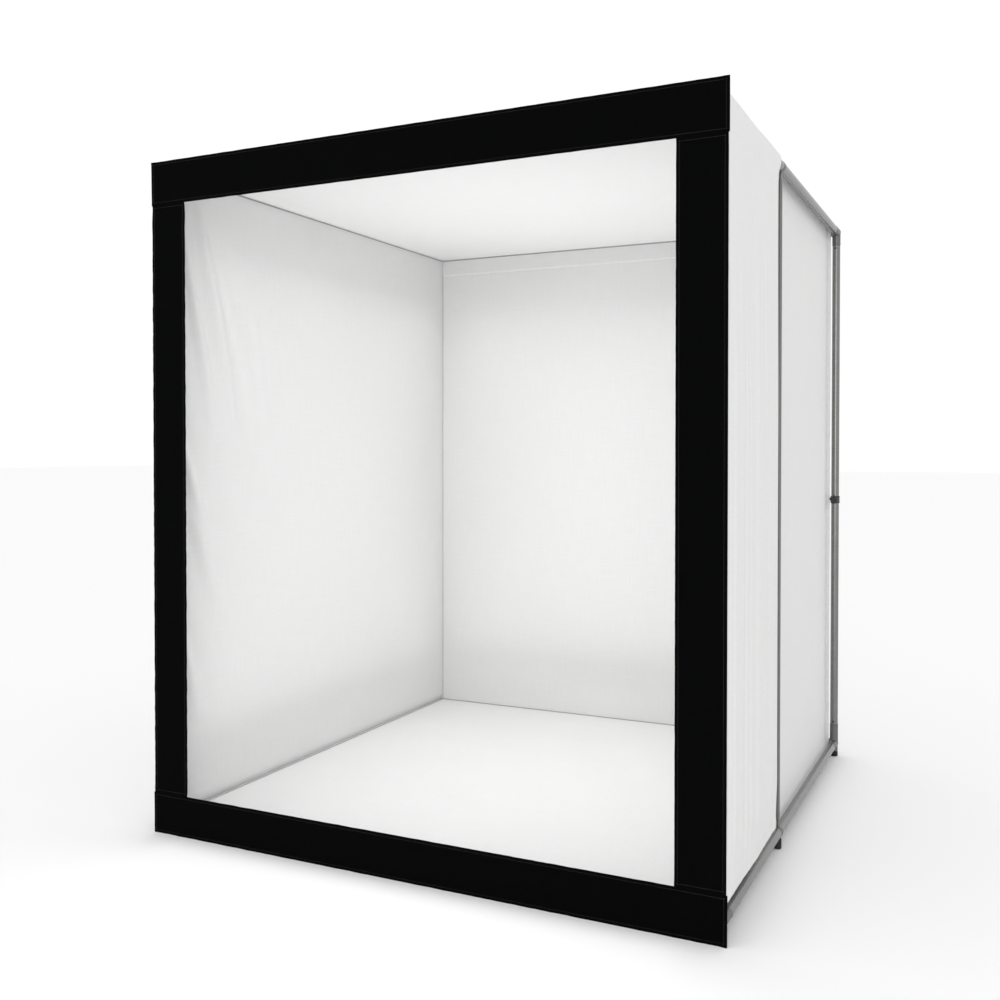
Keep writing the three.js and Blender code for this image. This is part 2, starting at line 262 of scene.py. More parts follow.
# The corner connectors: cast grey elbows with three round arms on a ball, a rolled lip at the end of each arm,
# and a neck under the bottom ones for the foot. Each is one skin, so that the arms flow together.
CAST_COLOUR = (0.17, 0.17, 0.168)
ARM_RADIUS = 0.017
BALL_RADIUS = 0.018
LIP_RADIUS = 0.0176
LIP_LENGTH = 0.005
LIP_BREAK = 0.0006
NECK_RADIUS = 0.016
CAST_VOXEL = 0.0016
CAST_SMOOTHING = 3
BALL_BANDS = 12

cast_metal = metal_finish("cast_grey", CAST_COLOUR, 0.42, 500.0)


def arm_profile(length):
    """A round arm from the ball's middle to its rolled lip."""
    return [
        (0, 0), (ARM_RADIUS, 0), (ARM_RADIUS, length - LIP_LENGTH), (LIP_RADIUS, length - LIP_LENGTH * 0.7),
        (LIP_RADIUS, length - LIP_BREAK), (ARM_RADIUS, length), (0, length),
    ]


def ball_profile(radius):
    """A ball, pole to pole."""
    turns = [math.pi * i / BALL_BANDS for i in range(BALL_BANDS + 1)]
    return [(radius * math.sin(t) if 0 < t < math.pi else 0, -radius * math.cos(t)) for t in turns]


def cast_skin(name, solids, voxel, passes):
    """Joins closed solids, given as points and faces, in one smooth cast skin."""
    points, faces = [], []
    for part_points, part_faces in solids:
        faces += [[i + len(points) for i in face] for face in part_faces]
        points += list(part_points)
    piece = mesh_object(name, points, faces)
    remesh = piece.modifiers.new("skin", "REMESH")
    remesh.mode = "VOXEL"
    remesh.voxel_size = voxel
    smooth = piece.modifiers.new("flow", "SMOOTH")
    smooth.factor = 0.5
    smooth.iterations = passes
    return applied(piece)


def post_at(end, side, level):
    """The post, or the length of a split one, that meets a corner."""
    if end == "front":
        return f"post_front_{side}"
    return f"post_rear_{side}_upper" if level == "top" else f"post_rear_{side}_lower"


SIDES = {"left": -1, "right": 1}
ENDS = {"front": 1, "rear": -1}
LEVELS = {"bottom": 1, "top": -1}
for side, x_sign in SIDES.items():
    for end, y_inward in ENDS.items():
        for level, z_inward in LEVELS.items():
            post = post_at(end, side, level)
            post_middle = tube_line(post)[0]
            rail_low, rail_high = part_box(f"rail_{side}_{level}_{end}")
            cross_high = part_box(f"rail_{end}_{level}")[1]
            centre = Vector((post_middle[0], post_middle[1], (rail_low[2] + rail_high[2]) / 2))
            post_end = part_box(post)[0][2] if level == "bottom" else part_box(post)[1][2]
            reach_z = abs(post_end - centre.z)
            reach_y = abs((rail_low[1] if end == "front" else rail_high[1]) - centre.y)
            reach_x = abs(abs(centre.x) - cross_high[0])
            solids = [
                turned(ball_profile(BALL_RADIUS), centre, (0, 0, 1), TUBE_STEPS),
                turned(arm_profile(reach_x), centre, (-x_sign, 0, 0), TUBE_STEPS),
                turned(arm_profile(reach_y), centre, (0, y_inward, 0), TUBE_STEPS),
                turned(arm_profile(reach_z), centre, (0, 0, z_inward), TUBE_STEPS),
            ]
            if level == "bottom":
                foot_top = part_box(f"foot_{end}_{side}")[1][2]
                neck = rod_profile(NECK_RADIUS, 0, centre.z - foot_top)
                solids.append(turned(neck, centre, (0, 0, -1), TUBE_STEPS))
            corner = f"corner_{end}_{side}_{level}"
            casting = cast_skin(f"{corner}_casting", solids, CAST_VOXEL, CAST_SMOOTHING)
            fitted(casting, cast_metal, [corner])

# The middle connectors and poles: a short collar joins the two lengths of each side rail, and its socket holds
# the thin pole. The bottom collars stand on a cast foot with a rubber cap. Each pole tapers to its tips.
COLLAR_HALF = 0.010
EYELET_RADIUS = 0.0075
EYELET_HOLE = 0.0039
EYELET_DEPTH = 0.011
EYELET_BREAK = 0.001
EYELET_ROOT = 0.003
MID_FOOT_RADIUS = 0.009
MID_CAP_RADIUS = 0.0125
MID_CAP_HEIGHT = 0.033
MID_CAP_SOLE = 0.0032
MID_CAP_EDGE = 0.002
MID_CAP_LIP = 0.001
MID_STEM_GAP = 0.004
MID_VOXEL = 0.0011
MID_SMOOTHING = 2
POLE_COLOUR = (0.20, 0.20, 0.20)
POLE_STEPS = 24
POLE_TAPER = 0.034
POLE_TAPER_STEPS = 5
POLE_TIP_LENGTH = 0.0117
POLE_TIP_RADIUS = 0.0035
POLE_TIP_BREAK = 0.001

pole_metal = metal_finish("pole_metal", POLE_COLOUR, 0.40, 700.0)
RUBBER_COLOUR = (0.012, 0.012, 0.013)


def rubber_finish():
    """Matte black rubber with a fine moulded grain."""
    material, tree, shader = new_finish("foot_rubber", RUBBER_COLOUR, 0.78)
    place = node(tree, "ShaderNodeTexCoord")
    grain = node(tree, "ShaderNodeTexVoronoi", Scale=1400.0)
    tree.links.new(place.outputs["Object"], grain.inputs["Vector"])
    bump = node(tree, "ShaderNodeBump", Strength=0.3, Distance=0.0002)
    tree.links.new(grain.outputs["Distance"], bump.inputs["Height"])
    tree.links.new(bump.outputs["Normal"], shader.inputs["Normal"])
    dust = node(tree, "ShaderNodeTexNoise", Scale=60.0, Detail=4.0)
    tree.links.new(place.outputs["Object"], dust.inputs["Vector"])
    rough = node(tree, "ShaderNodeMapRange", To_Min=0.66, To_Max=0.9)
    tree.links.new(dust.outputs["Fac"], rough.inputs["Value"])
    tree.links.new(rough.outputs["Result"], shader.inputs["Roughness"])
    return material


rubber = rubber_finish()
for side in SIDES:
    for level, inward in LEVELS.items():
        connector = f"mid_connector_{side}_{level}"
        low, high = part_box(connector)
        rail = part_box(f"rail_{side}_{level}_front")
        centre = Vector(((low[0] + high[0]) / 2, (low[1] + high[1]) / 2, (rail[0][2] + rail[1][2]) / 2))
        top = (high[2] - centre.z) if inward > 0 else (centre.z - low[2])
        eyelet = [
            (EYELET_HOLE, top - EYELET_DEPTH), (EYELET_HOLE, top), (EYELET_RADIUS - EYELET_BREAK, top),
            (EYELET_RADIUS, top - EYELET_BREAK), (EYELET_RADIUS, ARM_RADIUS - EYELET_ROOT),
            (0, ARM_RADIUS - EYELET_ROOT), (0, top - EYELET_DEPTH),
        ]
        solids = [
            turned(rod_profile(ARM_RADIUS, -COLLAR_HALF, COLLAR_HALF), centre, (0, 1, 0), TUBE_STEPS),
            turned(eyelet, centre, (0, 0, inward), TUBE_STEPS),
        ]
        if level == "bottom":
            stem = rod_profile(MID_FOOT_RADIUS, 0, centre.z - MID_STEM_GAP)
            solids.append(turned(stem, centre, (0, 0, -1), TUBE_STEPS))
            cap = [
                (0, 0), (MID_CAP_RADIUS - MID_CAP_EDGE, 0), (MID_CAP_RADIUS, MID_CAP_EDGE),
                (MID_CAP_RADIUS, MID_CAP_HEIGHT - MID_CAP_LIP),
                (MID_CAP_RADIUS - MID_CAP_LIP, MID_CAP_HEIGHT), (MID_FOOT_RADIUS, MID_CAP_HEIGHT),
                (MID_FOOT_RADIUS, MID_CAP_SOLE), (0, MID_CAP_SOLE),
            ]
            points, faces = turned(cap, (centre.x, centre.y, 0), (0, 0, 1), TUBE_STEPS)
            fitted(mesh_object(f"mid_foot_cap_{side}", points, faces), rubber)
        casting = cast_skin(f"{connector}_casting", solids, MID_VOXEL, MID_SMOOTHING)
        fitted(casting, cast_metal, [connector])

    pole = f"mid_pole_{side}"
    middle, _, length, radius = tube_line(pole)
    half = length / 2
    profile = [
        (0, -half), (POLE_TIP_RADIUS * 0.8, -half), (POLE_TIP_RADIUS, -half + POLE_TIP_BREAK),
        (POLE_TIP_RADIUS, -half + POLE_TIP_LENGTH),
    ]
    for i in range(1, POLE_TAPER_STEPS + 1):
        swell = (radius - POLE_TIP_RADIUS) * math.sin(math.pi / 2 * i / POLE_TAPER_STEPS)
        height = -half + POLE_TIP_LENGTH + POLE_TAPER * i / POLE_TAPER_STEPS
        profile.append((POLE_TIP_RADIUS + swell, height))
    profile += [(r, -h) for r, h in reversed(profile)]
    points, faces = turned(profile, middle, (0, 0, 1), POLE_STEPS)
    fitted(mesh_object(f"{pole}_rod", points, faces), pole_metal, [pole])

# The post clamps and their knobs: a black moulded collar grips the joint of each rear post, and a five-lobed
# star knob tightens it through its boss. The knob turns with its stud.
PLASTIC_COLOUR = (0.010, 0.010, 0.011)
CLAMP_GAP = 0.0003
CLAMP_BREAK = 0.0012
CLAMP_BREAK_HEIGHT = 0.0014
CLAMP_RIM = 0.005
CLAMP_WAIST = 0.0006
CLAMP_WAIST_START = 0.006
BOSS_RADIUS = 0.0075
BOSS_ROOT = 0.0006
BOSS_FLARE = 0.0015
BOSS_LIP = 0.002
BOSS_BREAK = 0.0008
KNOB_STEPS = 120
KNOB_LOBES = 5
KNOB_LOBE_DEPTH = 0.0036
KNOB_LOBE_FADE = 0.009
KNOB_GAP = 0.0003
STUD_RADIUS = 0.003
STUD_GAP = 0.0004
STUD_TUCK = 0.002


def plastic_finish():
    """Moulded black plastic: a fine spark grain, and a sheen that varies a little."""
    material, tree, shader = new_finish("black_plastic", PLASTIC_COLOUR, 0.42)
    place = node(tree, "ShaderNodeTexCoord")
    grain = node(tree, "ShaderNodeTexNoise", Scale=2600.0, Detail=2.0)
    tree.links.new(place.outputs["Object"], grain.inputs["Vector"])
    bump = node(tree, "ShaderNodeBump", Strength=0.18, Distance=0.0001)
    tree.links.new(grain.outputs["Fac"], bump.inputs["Height"])
    tree.links.new(bump.outputs["Normal"], shader.inputs["Normal"])
    sheen = node(tree, "ShaderNodeTexNoise", Scale=90.0, Detail=2.0)
    tree.links.new(place.outputs["Object"], sheen.inputs["Vector"])
    rough = node(tree, "ShaderNodeMapRange", To_Min=0.34, To_Max=0.5)
    tree.links.new(sheen.outputs["Fac"], rough.inputs["Value"])
    tree.links.new(rough.outputs["Result"], shader.inputs["Roughness"])
    return material


plastic = plastic_finish()
for side in SIDES:
    clamp = f"post_clamp_{side}"
    low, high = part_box(clamp)
    post_middle = tube_line(f"post_rear_{side}_lower")[0]
    centre = Vector((post_middle[0], post_middle[1], (low[2] + high[2]) / 2))
    outer = high[1] - centre.y
    half = (high[2] - low[2]) / 2
    bore = tube_line(f"post_rear_{side}_lower")[3] + CLAMP_GAP
    upper_half = [
        (outer - CLAMP_WAIST, half - CLAMP_WAIST_START), (outer, half - CLAMP_RIM),
        (outer, half - CLAMP_BREAK_HEIGHT), (outer - CLAMP_BREAK, half), (bore, half),
    ]
    collar = [(r, -h) for r, h in reversed(upper_half)] + upper_half
    reach = centre.y - low[1]
    boss = [
        (STUD_RADIUS + STUD_GAP, bore + BOSS_ROOT), (BOSS_RADIUS + BOSS_FLARE, bore + BOSS_ROOT),
        (BOSS_RADIUS, reach - BOSS_LIP), (BOSS_RADIUS - BOSS_BREAK, reach), (STUD_RADIUS + STUD_GAP, reach),
    ]
    ring_points, ring_faces = turned(collar, centre, (0, 0, 1), TUBE_STEPS, closed=True)
    boss_points, boss_faces = turned(boss, centre, (0, -1, 0), TUBE_STEPS, closed=True)
    boss_faces = [[i + len(ring_points) for i in face] for face in boss_faces]
    grip = mesh_object(f"{clamp}_collar", ring_points + boss_points, ring_faces + boss_faces)
    fitted(grip, plastic, [clamp])

    knob = f"post_knob_{side}"
    low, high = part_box(knob)
    far = centre.y - low[1]
    near = reach + KNOB_GAP
    radius = (high[2] - low[2]) / 2 + KNOB_LOBE_DEPTH * 0.18
    # each ring's distance out from the post and its inset from the knob's widest outline
    rings = [
        (near, 0.0030), (near + 0.0008, 0.0010), (near + 0.0024, 0.0), (far - 0.0032, 0.0),
        (far - 0.0012, 0.0009), (far, 0.0032), (far, 0.0090), (far - 0.0012, 0.0104),
    ]
    points, faces = [], []
    for depth, inset in rings:
        for i in range(KNOB_STEPS):
            turn = 2 * math.pi * i / KNOB_STEPS
            fade = max(0.0, 1 - inset / KNOB_LOBE_FADE)
            lobe = KNOB_LOBE_DEPTH / 2 * (1 - math.cos(KNOB_LOBES * turn)) * fade
            across = radius - inset - lobe
            points.append(centre + Vector((across * math.sin(turn), -depth, across * math.cos(turn))))
    for ring in range(len(rings) - 1):
        for i in range(KNOB_STEPS):
            j = (i + 1) % KNOB_STEPS
            base, above = ring * KNOB_STEPS, (ring + 1) * KNOB_STEPS
            faces.append([base + i, base + j, above + j, above + i])
    faces.append(list(range(KNOB_STEPS)))
    faces.append(list(range((len(rings) - 1) * KNOB_STEPS, len(rings) * KNOB_STEPS)))
    fitted(mesh_object(f"{knob}_star", points, faces), plastic, [knob], body=knob)
    stud = rod_profile(STUD_RADIUS, bore + STUD_GAP, near + STUD_TUCK)
    points, faces = turned(stud, centre, (0, -1, 0), POLE_STEPS)
    fitted(mesh_object(f"{knob}_stud", points, faces), steel, body=knob)

# The spring buttons: small domed black pins that pop out through the tube and the spigot inside it. A leaf
# spring behind each one pushes it out, and it is pressed in to take the frame apart.
BUTTON_STEPS = 32
BUTTON_DOME = 6
BUTTON_CROWN = 0.62
BUTTON_AXES = {"post": (0, -1, 0), "rail": (0, 0, 1)}


def pin_profile(radius, half):
    """A round pin with a flat foot and a domed end, half its length either way."""
    points = [(0, -half), (radius, -half)]
    for i in range(BUTTON_DOME):
        turn = math.pi / 2 * i / BUTTON_DOME
        points.append((radius * math.cos(turn), half - radius * BUTTON_CROWN * (1 - math.sin(turn))))
    return points + [(0, half)]


for name in sorted(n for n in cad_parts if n.startswith("button_")):
    axis = Vector(BUTTON_AXES["post" if "_post_" in name else "rail"])
    low, high = (Vector(corner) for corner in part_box(name))
    middle = (low + high) / 2
    size = high - low
    half = abs(size.dot(axis)) / 2
    points, faces = turned(pin_profile(size.x / 2, half), middle, axis, BUTTON_STEPS)
    fitted(mesh_object(f"{name}_pin", points, faces), plastic, [name], body=name)

# The rubber feet: a moulded cup under each corner. It has two grip grooves round it, and a flat sole with a
# rounded edge.
FOOT_GROOVES = (0.35, 0.58)
FOOT_GROOVE_HALF = 0.0016
FOOT_GROOVE_FLOOR = 0.0008
FOOT_GROOVE_DEPTH = 0.0012
for side in SIDES:
    for end in ENDS:
        foot = f"foot_{end}_{side}"
        low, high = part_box(foot)
        radius = (high[0] - low[0]) / 2
        top = high[2]
        profile = [(0, 0), (radius * 0.80, 0), (radius * 0.95, 0.0012), (radius, 0.004)]
        for groove in FOOT_GROOVES:
            height = top * groove
            waist = radius - FOOT_GROOVE_DEPTH
            profile += [
                (radius, height - FOOT_GROOVE_HALF), (waist, height - FOOT_GROOVE_FLOOR),
                (waist, height + FOOT_GROOVE_FLOOR), (radius, height + FOOT_GROOVE_HALF),
            ]
        profile += [
            (radius * 0.98, top - 0.003), (radius * 0.88, top - 0.0006), (radius * 0.80, top), (0, top),
        ]
        place = ((low[0] + high[0]) / 2, (low[1] + high[1]) / 2, 0)
        points, faces = turned(profile, place, (0, 0, 1), TUBE_STEPS)
        fitted(mesh_object(f"{foot}_cup", points, faces), rubber, [foot])

# The white cloth box: plain-woven cloth about 1 mm thick, cut in flat panels, hemmed, and sewn edge to edge.
# It hangs in the frame, tight at the back and with pull folds near the open front.
CLOTH_THICKNESS = 0.0012
WHITE_COLOUR = (0.71, 0.71, 0.708)
HEM_WIDTH = 0.028
HEM_RISE = 0.0009
GRID_STEP = 0.016
YARN = 0.0016
STITCH_SPACING = 0.0065
STITCH_LENGTH = 0.0042
THREAD_RADIUS = 0.00045
WAVE_PHASE = 6.28
rng = np.random.default_rng(7)


def cloth_finish(name, colour, roughness, sheen, slub, bump_strength):
    """Plain weave: crossed yarns in the bump, and slubs that run along both yarns in the colour."""
    material, tree, shader = new_finish(name, colour, roughness)
    shader.inputs["Sheen Weight"].default_value = sheen
    shader.inputs["Sheen Roughness"].default_value = 0.5
    place = node(tree, "ShaderNodeUVMap", uv_map="cloth")
    yarns, slubs = [], []
    for direction, stretch in (("X", (9.0, 260.0, 1.0)), ("Y", (260.0, 9.0, 1.0))):
        wave = node(tree, "ShaderNodeTexWave", bands_direction=direction, Scale=0.314 / YARN)
        tree.links.new(place.outputs["UV"], wave.inputs["Vector"])
        yarns.append(wave)
        mapping = node(tree, "ShaderNodeMapping", Scale=stretch)
        tree.links.new(place.outputs["UV"], mapping.inputs["Vector"])
        noise = node(tree, "ShaderNodeTexNoise", Scale=1.0, Detail=3.0)
        tree.links.new(mapping.outputs["Vector"], noise.inputs["Vector"])
        slubs.append(noise)
    weave = node(tree, "ShaderNodeMath", operation="MULTIPLY")
    for wave, socket in zip(yarns, weave.inputs):
        tree.links.new(wave.outputs["Fac"], socket)
    thick = node(tree, "ShaderNodeMath", operation="ADD")
    for noise, socket in zip(slubs, thick.inputs):
        tree.links.new(noise.outputs["Fac"], socket)
    spread = node(tree, "ShaderNodeMapRange", From_Min=0.75, From_Max=1.25)
    tree.links.new(thick.outputs["Value"], spread.inputs["Value"])
    tint = node(tree, "ShaderNodeMix", data_type="RGBA")
    tint.inputs[6].default_value = (*[c * (1 - slub) for c in colour], 1)
    tint.inputs[7].default_value = (*[min(1.0, c * (1 + slub)) for c in colour], 1)
    tree.links.new(spread.outputs["Result"], tint.inputs[0])
    tree.links.new(tint.outputs[2], shader.inputs["Base Color"])
    height = node(tree, "ShaderNodeMath", operation="ADD")
    tree.links.new(weave.outputs["Value"], height.inputs[0])
    tree.links.new(thick.outputs["Value"], height.inputs[1])
    bump = node(tree, "ShaderNodeBump", Strength=bump_strength, Distance=0.0003)
    tree.links.new(height.outputs["Value"], bump.inputs["Height"])
    tree.links.new(bump.outputs["Normal"], shader.inputs["Normal"])
    return material


white_cloth = cloth_finish("white_cloth", WHITE_COLOUR, 0.88, 0.15, 0.022, 0.35)


def spaced(low, high, step=GRID_STEP):
    """Even steps from low to high, as near to the given step as they can be."""
    return np.linspace(low, high, max(2, int(round(abs(high - low) / step)) + 1))


def near_edge(value, low, high, width):
    """1 at either end of a range, falling smoothly to 0 a given width inside it."""
    inside = np.clip(np.minimum(value - low, high - value) / width, 0, 1)
    return 1 - inside * inside * (3 - 2 * inside)


def wave_terms(count, shortest, longest):
    """The direction, phase and length of each of a few broad soft waves."""
    return [
        (rng.uniform(0, math.pi), rng.uniform(0, WAVE_PHASE), rng.uniform(shortest, longest))
        for _ in range(count)
    ]


def soft_waves(terms, u, v):
    """The waves' sum at each point, each with a height of 1."""
    return sum(np.sin(2 * math.pi * (u * math.cos(a) + v * math.sin(a)) / s + p) for a, p, s in terms)


def pull_fold(u, v, start, end, width, height):
    """One tension fold: a ridge from start to end with a shallow valley on each side."""
    start, end = np.array(start), np.array(end)
    along = end - start
    length = np.linalg.norm(along)
    along = along / length
    t = ((u - start[0]) * along[0] + (v - start[1]) * along[1]) / length
    spread = width * (0.55 + 0.9 * np.clip(t, 0, 1))
    away = (-(u - start[0]) * along[1] + (v - start[1]) * along[0]) / spread
    window = np.sin(np.pi * np.clip(t, 0, 1)) ** 0.8
    return height * window * (1 - 1.2 * away**2) * np.exp(-(away**2))


def cloth_piece(name, us, vs, surface, thickness):
    """A panel of cloth on a surface of (u, v), with its own map in metres and a rim all round."""
    uu, vv = np.meshgrid(us, vs)
    uu, vv = uu.ravel(), vv.ravel()
    points = surface(uu, vv)
    wide = len(us)
    faces = [
        (j * wide + i, j * wide + i + 1, (j + 1) * wide + i + 1, (j + 1) * wide + i)
        for j in range(len(vs) - 1)
        for i in range(wide - 1)
    ]
    mesh = bpy.data.meshes.new(name)
    mesh.from_pydata(points.tolist(), [], faces)
    layer = mesh.uv_layers.new(name="cloth")
    corner = np.zeros(len(mesh.loops), dtype=np.int32)
    mesh.loops.foreach_get("vertex_index", corner)
    layer.data.foreach_set("uv", np.stack([uu[corner], vv[corner]], 1).ravel())
    piece = bpy.data.objects.new(name, mesh)
    stage_scene.collection.objects.link(piece)
    solid = piece.modifiers.new("thickness", "SOLIDIFY")
    solid.thickness = thickness
    solid.offset = 0
    applied(piece)
    work = bmesh.new()
    work.from_mesh(piece.data)
    bmesh.ops.recalc_face_normals(work, faces=work.faces)
    work.to_mesh(piece.data)
    work.free()
    return piece


def stitched(path_name, thread, lines):
    """Rows of stitches: small thread loops set along each line by a node tree, then made plain mesh."""
    mesh = bpy.data.meshes.new(path_name)
    points, edges = [], []
    for line in lines:
        first = len(points)
        points += [tuple(p) for p in line]
        edges += [(first + i, first + i + 1) for i in range(len(line) - 1)]
    mesh.from_pydata(points, edges, [])
    piece = bpy.data.objects.new(path_name, mesh)
    stage_scene.collection.objects.link(piece)
    modifier = piece.modifiers.new("stitches", "NODES")
    modifier.node_group = stitch_tree
    sockets = {s.name: s.identifier for s in stitch_tree.interface.items_tree if s.in_out == "INPUT"}
    modifier[sockets["Spacing"]] = STITCH_SPACING
    modifier[sockets["Stitch Length"]] = STITCH_LENGTH
    modifier[sockets["Thread Radius"]] = THREAD_RADIUS
    modifier[sockets["Thread"]] = thread
    applied(piece)
    piece.data.materials.clear()
    piece.data.materials.append(thread)
    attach(piece, "frame")
    return piece


def make_stitch_tree():
    """Points along a line, each with one stitch laid along it."""
    tree = bpy.data.node_groups.new("stitch_rows", "GeometryNodeTree")
    tree.interface.new_socket("Geometry", in_out="INPUT", socket_type="NodeSocketGeometry")
    sizes = {"Spacing": STITCH_SPACING, "Stitch Length": STITCH_LENGTH, "Thread Radius": THREAD_RADIUS}
    for label, value in sizes.items():
        tree.interface.new_socket(label, in_out="INPUT", socket_type="NodeSocketFloat").default_value = value
    tree.interface.new_socket("Thread", in_out="INPUT", socket_type="NodeSocketMaterial")
    tree.interface.new_socket("Geometry", in_out="OUTPUT", socket_type="NodeSocketGeometry")
    source = node(tree, "NodeGroupInput")
    curve = node(tree, "GeometryNodeMeshToCurve")
    spaced_out = node(tree, "GeometryNodeResampleCurve", mode="LENGTH")
    loop = node(tree, "GeometryNodeMeshUVSphere", Segments=6, Rings=4, Radius=1.0)
    size = node(tree, "ShaderNodeCombineXYZ")
    half = node(tree, "ShaderNodeMath", operation="MULTIPLY")
    half.inputs[1].default_value = 0.5
    shape = node(tree, "GeometryNodeTransform")
    tangent = node(tree, "GeometryNodeInputTangent")
    turn = node(tree, "FunctionNodeAlignRotationToVector", axis="Z")
    rows = node(tree, "GeometryNodeInstanceOnPoints")
    real = node(tree, "GeometryNodeRealizeInstances")
    dressed = node(tree, "GeometryNodeSetMaterial")
    out = node(tree, "NodeGroupOutput")
    link = tree.links.new
    link(source.outputs["Geometry"], curve.inputs["Mesh"])
    link(curve.outputs["Curve"], spaced_out.inputs["Curve"])
    link(source.outputs["Spacing"], spaced_out.inputs["Length"])
    link(source.outputs["Stitch Length"], half.inputs[0])
    link(source.outputs["Thread Radius"], size.inputs["X"])
    link(source.outputs["Thread Radius"], size.inputs["Y"])
    link(half.outputs["Value"], size.inputs["Z"])
    link(loop.outputs["Mesh"], shape.inputs["Geometry"])
    link(size.outputs["Vector"], shape.inputs["Scale"])
    link(tangent.outputs["Tangent"], turn.inputs["Vector"])
    link(spaced_out.outputs["Curve"], rows.inputs["Points"])
    link(shape.outputs["Geometry"], rows.inputs["Instance"])
    link(turn.outputs["Rotation"], rows.inputs["Rotation"])
    link(rows.outputs["Instances"], real.inputs["Geometry"])
    link(real.outputs["Geometry"], dressed.inputs["Geometry"])
    link(source.outputs["Thread"], dressed.inputs["Material"])
    link(dressed.outputs["Geometry"], out.inputs["Geometry"])
    return tree


stitch_tree = make_stitch_tree()


def thread_finish(name, colour):
    """Twisted polyester thread with a soft gloss."""
    material, tree, shader = new_finish(name, colour, 0.55)
    place = node(tree, "ShaderNodeTexCoord")
    twist = node(tree, "ShaderNodeTexNoise", Scale=1800.0, Detail=1.0)
    tree.links.new(place.outputs["Object"], twist.inputs["Vector"])
    bump = node(tree, "ShaderNodeBump", Strength=0.3, Distance=0.0001)
    tree.links.new(twist.outputs["Fac"], bump.inputs["Height"])
    tree.links.new(bump.outputs["Normal"], shader.inputs["Normal"])
    return material


white_thread = thread_finish("white_thread", (0.70, 0.70, 0.69))
black_thread = thread_finish("black_thread", (0.028, 0.028, 0.027))


def box_mid(name):
    """A panel's low and high corners and its middle, as arrays."""
    low, high = (np.array(corner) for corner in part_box(name))
    return low, high, (low + high) / 2


def lifted(surface, us, vs, lift):
    """Points along a line on a surface, moved off it by the vector lift."""
    return surface(np.asarray(us, float), np.asarray(vs, float)) + np.asarray(lift)


ROOF_SAG = 0.011
ROOF_WAVE = 0.0009
low, high, middle = box_mid("roof")


def roof_surface(u, v, low=low, high=high, z=middle[2]):
    half_x, half_y = (high[0] - low[0]) / 2, (high[1] - low[1]) / 2
    belly = (1 - (u / half_x) ** 2) * (1 - ((v - (low[1] + half_y)) / half_y) ** 2)
    hem = HEM_RISE * near_edge(u, low[0], high[0], HEM_WIDTH)
    waves = ROOF_WAVE * soft_waves(roof_terms, u, v)
    return np.stack([u, v, z - ROOF_SAG * belly + waves * belly + hem], 1)


roof_terms = wave_terms(6, 0.35, 0.9)
roof = cloth_piece("roof_cloth", spaced(low[0], high[0]), spaced(low[1], high[1]), roof_surface,
                   CLOTH_THICKNESS)
fitted(roof, white_cloth, ["roof"])

FLOOR_WAVE = 0.0010
FLOOR_HELD = 0.2
low, high, middle = box_mid("floor")
floor_terms = wave_terms(7, 0.25, 0.8)


def floor_surface(u, v, low=low, high=high, z=middle[2]):
    free = (1 - near_edge(u, low[0], high[0], FLOOR_HELD)) * (1 - near_edge(v, low[1], high[1], FLOOR_HELD))
    return np.stack([u, v, z + FLOOR_WAVE * soft_waves(floor_terms, u, v) * free], 1)


floor_cloth = cloth_piece("floor_cloth", spaced(low[0], high[0]), spaced(low[1], high[1]), floor_surface,
                          CLOTH_THICKNESS)
fitted(floor_cloth, white_cloth, ["floor"])

REAR_WAVE = 0.0011
REAR_HELD = 0.15
REAR_BAND = 0.075
REAR_BAND_RISE = 0.0011
REAR_BAND_EDGE = 0.003
REAR_STITCH_DROP = 0.008
REAR_STITCH_LIFT = (0, -0.001, 0)
low, high, middle = box_mid("rear_wall")
rear_terms = wave_terms(7, 0.3, 1.0)


def rear_surface(u, v, low=low, high=high, y=middle[1]):
    free = (1 - near_edge(u, low[0], high[0], REAR_HELD)) * (1 - near_edge(v, low[2], high[2], REAR_HELD))
    waves = REAR_WAVE * soft_waves(rear_terms, u, v)
    band = -REAR_BAND_RISE * (1 + np.tanh((v - (high[2] - REAR_BAND)) / REAR_BAND_EDGE))
    return np.stack([u, y + waves * free + band, v], 1)


band_steps = high[2] - REAR_BAND + np.linspace(-2 * REAR_BAND_EDGE, 2 * REAR_BAND_EDGE, 9)
rear_ups = np.sort(np.concatenate([spaced(low[2], high[2]), band_steps]))
rear = cloth_piece("rear_cloth", spaced(low[0], high[0]), rear_ups, rear_surface, CLOTH_THICKNESS)
fitted(rear, white_cloth, ["rear_wall"])
across = spaced(low[0] + 0.01, high[0] - 0.01)
row_height = np.full_like(across, high[2] - REAR_BAND - REAR_STITCH_DROP)
rows = [lifted(rear_surface, across, row_height, REAR_STITCH_LIFT)]
stitched("rear_band_stitches", white_thread, rows)

# The seams of the cloth box: a thin strip drawn as bias tape, folded over the raw edges and sewn along each
# inside corner. Its grey is painted shade: it stands in for the thin shadow line where the walls meet the
# roof, the floor and each other, with a darker painted shade under the roof and a paler one in the upright
# corners.
TAPE_RADIUS = 0.0019
TAPE_SIDES = 8
# painted shade: each grey stands in for the shadow line at that seam, darkest at the roof and palest in the
# corners
SHADE_LINE_COLOURS = {"roof": (0.36, 0.36, 0.358), "floor": (0.40, 0.40, 0.398), "corner": (0.60, 0.60, 0.598)}


